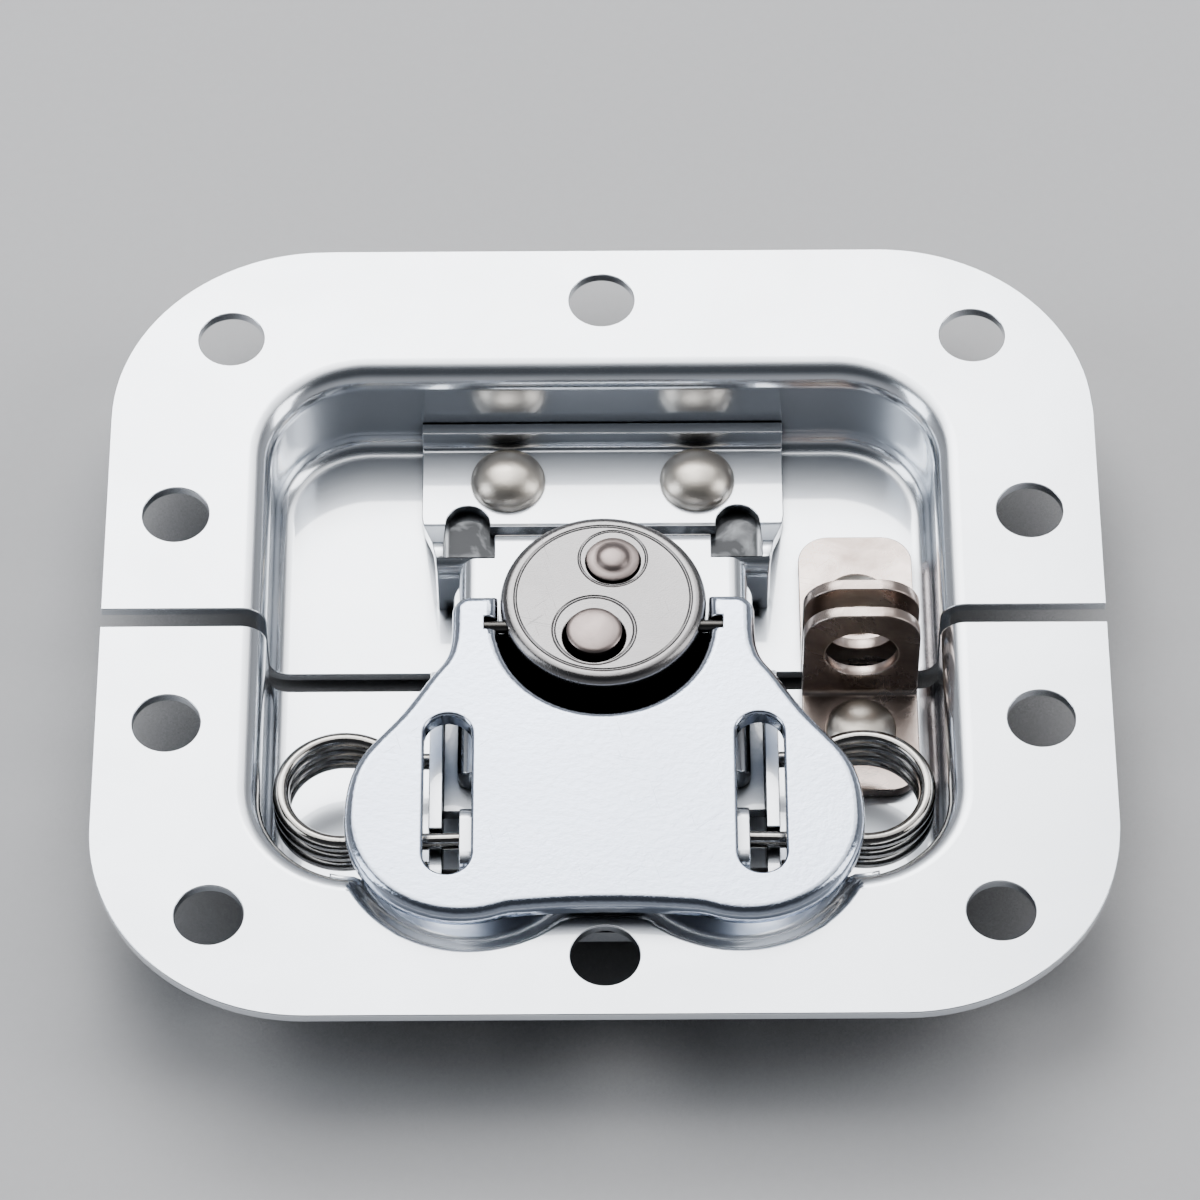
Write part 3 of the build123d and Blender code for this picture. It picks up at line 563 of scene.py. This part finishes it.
def floor_finish(tint):
    """Matt pale board with a faint unevenness, and a painted shadow darkening it under and around the latch.
    """
    finish = bpy.data.materials.new("pale_floor")
    finish.use_nodes = True
    tree = finish.node_tree
    board = tree.nodes["Principled BSDF"]
    board.inputs["Roughness"].default_value = 0.75
    where = add_node(tree, "ShaderNodeTexCoord", (-900, 0))
    fleck = noise(tree, (-600, 0), where.outputs["Object"], 900.0, detail=3.0)
    darker = [part * 0.97 for part in tint]
    lighter = [min(1.0, part * 1.03) for part in tint]
    tone = blend(tree, (-300, 0), fleck, (*darker, 1.0), (*lighter, 1.0))
    # painted shadow of the latch on the floor beneath and around it
    painted_shadow = effect(tree, "Painted gap shade", (-300, -250), {"Reach": 45.0 * MM, "Floor": 0.10})
    tree.links.new(blend(tree, (-80, 0), 1.0, tone, painted_shadow, way="MULTIPLY"), board.inputs["Base Color"])
    return finish


def finish_named(name):
    """A finish that has been mixed already, known from the frame's plain materials by its haze."""
    finish = bpy.data.materials.get(name)
    nodes = finish.node_tree.nodes if finish and finish.use_nodes else ()
    if "Haze" not in [node.node_tree.name for node in nodes if node.bl_idname == "ShaderNodeGroup"]:
        raise RuntimeError("mix the finishes first: " + name + " is missing")
    return finish


# patch of painted shade on the upper dish's floor, under the keeper's window where the hook and keeper shade
# it: its middle and half size in mm
WINDOW_SHADE = ((0.0, 16.5), (17.6, 7.4))
# worn colours, where an edge is rubbed bright
WORN_ZINC = (0.93, 0.94, 0.95)
WORN_DISC = (0.55, 0.54, 0.53)
WORN_RIVET = (0.75, 0.70, 0.64)
WORN_CAP = (0.50, 0.44, 0.42)
WORN_EAR = (0.74, 0.68, 0.64)
WORN_WIRE = (0.70, 0.68, 0.65)
WORN_PIN = (0.20, 0.195, 0.19)
EAR_CLOUD = (0.30, 0.235, 0.205)
PIN_SHADE = 0.25


class LATCH_OT_finishes(Operator):
    """Mix the shared effects and every metal finish"""
    bl_idname = "latch.finishes"
    bl_label = "Mix finishes"

    def execute(self, context):
        for build in EFFECTS:
            build()
        tints = context.scene.latch_finishes
        zinc = tints.zinc_roughness
        plated("zinc_pressing", tints.zinc_tint, WORN_ZINC, zinc, scratch=0.45, skin=0.010,
               mirror=0.8, flat_satin=0.16, shade_patch=WINDOW_SHADE)
        plated("zinc_bracket", tints.zinc_tint, WORN_ZINC, zinc, skin=0.012,
               mirror=0.8, flat_satin=0.16, gap_reach=6.0)
        plated("zinc_butterfly", tints.wing_tint, WORN_ZINC, zinc - 0.05, skin=0.045, ripple=1500.0,
               grain_share=0.25, mirror=0.6, flat_satin=0.08)
        rim = middle("cam_disc")
        plated("disc_satin", tints.disc_tint, WORN_DISC, 0.24, haze=0.8, scratch=1.0, skin=0.016,
               grain_share=0.6, groove_depth=7.0, grooves=[
                   (middle("pivot_rivet"), 3.75, 0.22), (middle("crank_rivet"), 4.5, 0.30),
                   ((rim[0], rim[1] - DISC_SETTLE), 9.75, 0.25)])
        plated("rivet_nickel", tints.nickel_tint, WORN_RIVET, 0.32, haze_size=220.0, scratch=0.4,
               gap_reach=1.5)
        plated("cap_nickel", tints.cap_tint, WORN_CAP, 0.30, haze=1.0, haze_size=260.0, scratch=0.8)
        plated("ear_nickel", tints.hasp_tint, WORN_EAR, 0.26, cloud_tint=EAR_CLOUD, haze=1.0,
               haze_size=130.0, scratch=0.8, gap_reach=1.5)
        plated("wire_polished", tints.wire_tint, WORN_WIRE, 0.12, haze_size=160.0, scratch=0.3)
        plated("pin_turned", [part * PIN_SHADE for part in tints.wire_tint], WORN_PIN, 0.30,
               haze_size=160.0, scratch=0.4)
        return {"FINISHED"}


# ---------------------------------------------------------------- pieces
class LATCH_OT_dishes(Operator):
    """Dress the two pressed dishes"""
    bl_idname = "latch.dishes"
    bl_label = "Pressed dishes"

    def execute(self, context):
        edge = context.scene.latch_sizes.cut_edge
        for node in ("upper_dish", "lower_dish"):
            sheet_piece(node, finish_named("zinc_pressing"), edge)
        return {"FINISHED"}


class LATCH_OT_brackets(Operator):
    """Dress the keeper, base bracket, carrier and hook plate"""
    bl_idname = "latch.brackets"
    bl_label = "Keeper and brackets"

    def execute(self, context):
        edge = context.scene.latch_sizes.cut_edge
        for node in ("keeper", "base_bracket", "carrier", "hook_plate"):
            sheet_piece(node, finish_named("zinc_bracket"), edge)
        return {"FINISHED"}


class LATCH_OT_hasps(Operator):
    """Dress the two padlock ears"""
    bl_idname = "latch.hasps"
    bl_label = "Padlock ears"

    def execute(self, context):
        edge = context.scene.latch_sizes.cut_edge
        for node in ("upper_hasp", "lower_hasp"):
            sheet_piece(node, finish_named("ear_nickel"), edge)
        return {"FINISHED"}


# each pair of floor rivets, with the height of its heads in mm
FLOOR_RIVETS = ((("keeper_rivet_left", "keeper_rivet_right"), 2.7),
                (("base_rivet_left", "base_rivet_right"), 2.1),
                (("upper_hasp_rivet", "lower_hasp_rivet"), 2.1))
# flattened tail of a floor rivet, from the bottom up: radius and height in mm
FLOOR_RIVET_TAIL = [(2.35, 0.0), (2.72, 0.12), (2.90, 0.40), (2.90, 1.05), (2.84, 1.20), (2.0, 1.20)]
FLOOR_RIVET_SHANK_R = 2.0
DOME_STEPS = 14
DOME_RIM_SHARE = 0.10
DOME_FULLNESS = 1.15
DOME_TOP_SHARE = 0.06


def dome_rings(radius, height):
    """Upright rim and round crown of a rivet head, from its seat up, in mm."""
    rim = DOME_RIM_SHARE * height
    crown = height - rim
    rings = [(radius, 0.0)]
    for step in range(DOME_STEPS):
        turn = pi / 2 * step / DOME_STEPS
        rings.append((radius * cos(turn), rim + crown * sin(turn) ** DOME_FULLNESS))
    rings.append((radius * DOME_TOP_SHARE, height))
    return rings


class LATCH_OT_rivets(Operator):
    """Turn the domed floor rivets with their flattened tails"""
    bl_idname = "latch.rivets"
    bl_label = "Floor rivets"

    def execute(self, context):
        finish = finish_named("rivet_nickel")
        for pair, head in FLOOR_RIVETS:
            low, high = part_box(pair[0])
            seat = high[2] / MM - head
            head_r = (high[0] - low[0]) / 2 / MM
            rings = FLOOR_RIVET_TAIL + [(FLOOR_RIVET_SHANK_R, seat)]
            rings += [(radius, seat + height) for radius, height in dome_rings(head_r, head)]
            home = middle(pair[0])
            place = middle(pair[1])
            first = turned(pair[0] + "_turned", home, rings)
            second = placed_copy(first, pair[1] + "_turned", (place[0] - home[0], place[1] - home[1], 0.0))
            dress(first, pair[0], finish)
            dress(second, pair[1], finish)
        return {"FINISHED"}


class LATCH_OT_springs(Operator):
    """Dress the lift springs and the hinge pin"""
    bl_idname = "latch.springs"
    bl_label = "Springs and hinge pin"

    def execute(self, context):
        edge = context.scene.latch_sizes.wire_edge
        for node in ("spring_left", "spring_right"):
            spring = sheet_piece(node, finish_named("wire_polished"), edge)
            thicken(spring, WIRE_PLATING)
        sheet_piece("hinge_pin", finish_named("pin_turned"), edge)
        return {"FINISHED"}


SHANK_R = 2.0
CRANK_HEAD_R = 3.1
PIVOT_HEAD_R = 3.0
PIVOT_COLLAR = (5.5, 3.75)
# tail of the disc's rivets, from the bottom up: radius and height in mm
SHANK_TAIL = ((2.7, 0.0), (3.0, 0.25), (3.0, 1.0), (SHANK_R, 1.0))
# crowns of the disc's rivets, from the rim up: radius and depth below the top in mm
CRANK_CROWN = ((CRANK_HEAD_R, 0.50), (3.06, 0.36), (2.92, 0.25), (2.55, 0.15), (1.95, 0.07), (1.2, 0.02),
               (0.4, 0.0))
PIVOT_CROWN = ((PIVOT_HEAD_R, 0.78), (2.95, 0.66), (2.80, 0.58), (2.30, 0.50), (1.92, 0.42), (1.72, 0.32),
               (1.50, 0.19), (1.18, 0.08), (0.80, 0.02), (0.30, 0.0))


def disc_rivet(node, head_r, collar, crown):
    """Rivet through the disc: tail, shank with any collar, and a crowned head standing in the disc."""
    low, high = (corner[2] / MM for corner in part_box(node))
    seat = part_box("cam_disc")[0][2] / MM
    rings = [(radius, low + height) for radius, height in SHANK_TAIL]
    rings += collar + [(SHANK_R, seat), (head_r, seat)]
    rings += [(radius, high - depth) for radius, depth in crown]
    rivet = turned(node + "_turned", middle(node), rings)
    dress(rivet, node, finish_named("cap_nickel"))


class LATCH_OT_rotor(Operator):
    """Dress the turning disc, its plate, its two rivets and the wing pins"""
    bl_idname = "latch.rotor"
    bl_label = "Turning disc"

    def execute(self, context):
        edge = context.scene.latch_sizes.cut_edge
        disc = sheet_piece("cam_disc", finish_named("disc_satin"), edge)
        take(disc)
        centre = (*middle("cam_disc"), 0.0)
        bpy.ops.transform.resize(value=(DISC_GROWTH, DISC_GROWTH, 1.0), center_override=centre)
        bpy.ops.transform.translate(value=(0.0, -DISC_SETTLE, 0.0))
        bpy.ops.object.transform_apply(location=True, rotation=True, scale=True)
        sheet_piece("rotor_plate", finish_named("pin_turned"), edge)
        bottom, top = (TOP / MM - depth for depth in PIVOT_COLLAR)
        collar = [(SHANK_R, bottom), (PIVOT_HEAD_R, bottom), (PIVOT_HEAD_R, top), (SHANK_R, top)]
        disc_rivet("crank_rivet", CRANK_HEAD_R, [], CRANK_CROWN)
        disc_rivet("pivot_rivet", PIVOT_HEAD_R, collar, PIVOT_CROWN)
        for node in ("wing_pin_left", "wing_pin_right"):
            sheet_piece(node, finish_named("pin_turned"), edge)
        return {"FINISHED"}


class LATCH_OT_wing(Operator):
    """Dress the butterfly wing"""
    bl_idname = "latch.wing"
    bl_label = "Butterfly wing"

    def execute(self, context):
        edge = context.scene.latch_sizes.cut_edge
        sheet_piece("butterfly_wing", finish_named("zinc_butterfly"), edge)
        return {"FINISHED"}


# ---------------------------------------------------------------- studio
FLOOR_SIZE = 6.0
KEY_PLACE = (0.0, 0.55, 1.05)
KEY_SIZE = (1.50, 1.15)
# brightness of the key softbox, from its lower edge up and from its left edge across
KEY_ROWS = ((0.0, 0.3), (0.18, 1.0), (0.32, 1.0), (0.47, 0.5), (0.8, 0.45), (1.0, 0.2))
KEY_COLUMNS = ((0.0, 0.3), (0.38, 0.5), (0.45, 1.0), (0.62, 1.0), (1.0, 0.5))
SIDE_SIZE = (0.5, 0.9)
LEFT_PLACE = (-1.1, -0.1, 0.6)
LEFT_TINT = (0.90, 0.95, 1.0)
RIGHT_PLACE = (1.1, 0.0, 0.7)
AIR_OVERHEAD = (0.055, 0.06, 0.068)
AIR_ROUND_ABOUT = (0.40, 0.41, 0.43)
LENS_MM = 178.95
SENSOR_MM = 36.0
CAMERA_PLACE = (0.0000242, -0.3837548, 0.5413976 + TOP)
CAMERA_TURN_DEG = (35.4730, 0.2111, -0.2400)


def softbox(name, place, target, size, power, tint=(1.0, 1.0, 1.0)):
    """Rectangular area light aimed at a point."""
    lamp = bpy.data.lights.new(name, "AREA")
    lamp.shape = "RECTANGLE"
    lamp.size, lamp.size_y = size
    lamp.energy = power
    lamp.color = tint
    holder = bpy.data.objects.new(name, lamp)
    holder.location = place
    holder.rotation_euler = (Vector(target) - Vector(place)).to_track_quat("-Z", "Y").to_euler()
    bpy.context.scene.collection.objects.link(holder)
    return holder


def fade(tree, place, value, stops):
    """Brightness that runs smoothly through its stops."""
    item = add_node(tree, "ShaderNodeValToRGB", place)
    item.color_ramp.interpolation = "EASE"
    first, last = item.color_ramp.elements
    for element, (spot, tone) in ((first, stops[0]), (last, stops[-1])):
        element.position = spot
        element.color = (tone, tone, tone, 1.0)
    for spot, tone in stops[1:-1]:
        item.color_ramp.elements.new(spot).color = (tone, tone, tone, 1.0)
    tree.links.new(value, item.inputs["Fac"])
    return item.outputs["Color"]


def grade_softbox(holder, rows, columns):
    """Varies a softbox's brightness over its face."""
    holder.data.use_nodes = True
    tree = holder.data.node_tree
    face = add_node(tree, "ShaderNodeNewGeometry", (-900, 0))
    across = separate(tree, (-700, 0), face.outputs["Parametric"])
    upward = fade(tree, (-500, 150), across["Y"], rows)
    sideways = fade(tree, (-500, -150), across["X"], columns)
    glow = calc(tree, (-150, 0), "MULTIPLY", upward, sideways)
    tree.links.new(glow, tree.nodes["Emission"].inputs["Strength"])


def studio_air(overhead, round_about):
    """Soft air, lighter towards the horizon, so that bright metal has something to mirror from every side."""
    world = bpy.data.worlds.new("studio air")
    world.use_nodes = True
    tree = world.node_tree
    where = add_node(tree, "ShaderNodeTexCoord", (-900, 0))
    upward = separate(tree, (-700, 0), where.outputs["Generated"])["Z"]
    climb = map_range(tree, (-500, 0), upward, 0.25, 0.75, ease="SMOOTHSTEP")
    tone = blend(tree, (-300, 0), climb, (*round_about, 1.0), (*overhead, 1.0))
    tree.links.new(tone, tree.nodes["Background"].inputs["Color"])
    return world


class LATCH_OT_stage(Operator):
    """Lay the floor, set the lights and place the camera"""
    bl_idname = "latch.stage"
    bl_label = "Studio"

    def execute(self, context):
        studio = context.scene.latch_studio
        clear_selection()
        bpy.ops.mesh.primitive_plane_add(size=FLOOR_SIZE, location=(0.0, 0.0, 0.0))
        floor = context.object
        floor.name = "studio_floor"
        floor.data.materials.append(floor_finish(studio.floor_tint))
        target = (0.0, 0.0, TOP)
        key = softbox("key softbox", KEY_PLACE, target, KEY_SIZE, studio.key_power)
        grade_softbox(key, KEY_ROWS, KEY_COLUMNS)
        softbox("left softbox", LEFT_PLACE, target, SIDE_SIZE, studio.fill_power, LEFT_TINT)
        softbox("right softbox", RIGHT_PLACE, target, SIDE_SIZE, studio.fill_power)
        context.scene.world = studio_air(AIR_OVERHEAD, AIR_ROUND_ABOUT)
        lens = bpy.data.cameras.new("catalogue camera")
        lens.lens = LENS_MM
        lens.sensor_width = SENSOR_MM
        lens.clip_start = 0.01
        camera = bpy.data.objects.new("catalogue camera", lens)
        camera.location = CAMERA_PLACE
        camera.rotation_euler = [radians(turn) for turn in CAMERA_TURN_DEG]
        context.scene.collection.objects.link(camera)
        context.scene.camera = camera
        return {"FINISHED"}


# ---------------------------------------------------------------- panel and registration
class LATCH_PT_panel(Panel):
    """Steps and settings of the case latch"""
    bl_idname = "LATCH_PT_panel"
    bl_label = "Butterfly case latch"
    bl_space_type = "VIEW_3D"
    bl_region_type = "UI"
    bl_category = "Case Latch"

    def draw(self, context):
        column = self.layout.column(align=True)
        for step in STEPS:
            column.operator(step.bl_idname)
        for label, group in (("Sizes", context.scene.latch_sizes), ("Finishes", context.scene.latch_finishes),
                             ("Studio", context.scene.latch_studio)):
            box = self.layout.box()
            box.label(text=label)
            for key in group.__annotations__:
                box.prop(group, key)


STEPS = (LATCH_OT_finishes, LATCH_OT_dishes, LATCH_OT_brackets, LATCH_OT_hasps, LATCH_OT_rivets,
         LATCH_OT_springs, LATCH_OT_rotor, LATCH_OT_wing, LATCH_OT_stage)
GROUPS = (LatchSizes, LatchFinishes, LatchStudio)


def register():
    for item in GROUPS + STEPS + (LATCH_PT_panel,):
        bpy.utils.register_class(item)
    bpy.types.Scene.latch_sizes = PointerProperty(type=LatchSizes)
    bpy.types.Scene.latch_finishes = PointerProperty(type=LatchFinishes)
    bpy.types.Scene.latch_studio = PointerProperty(type=LatchStudio)


def unregister():
    del bpy.types.Scene.latch_studio
    del bpy.types.Scene.latch_finishes
    del bpy.types.Scene.latch_sizes
    for item in reversed(GROUPS + STEPS + (LATCH_PT_panel,)):
        bpy.utils.unregister_class(item)


def main():
    register()
    bpy.ops.latch.finishes()
    bpy.ops.latch.dishes()
    bpy.ops.latch.brackets()
    bpy.ops.latch.hasps()
    bpy.ops.latch.rivets()
    bpy.ops.latch.springs()
    bpy.ops.latch.rotor()
    bpy.ops.latch.wing()
    bpy.ops.latch.stage()


if __name__ == "__main__":
    main()
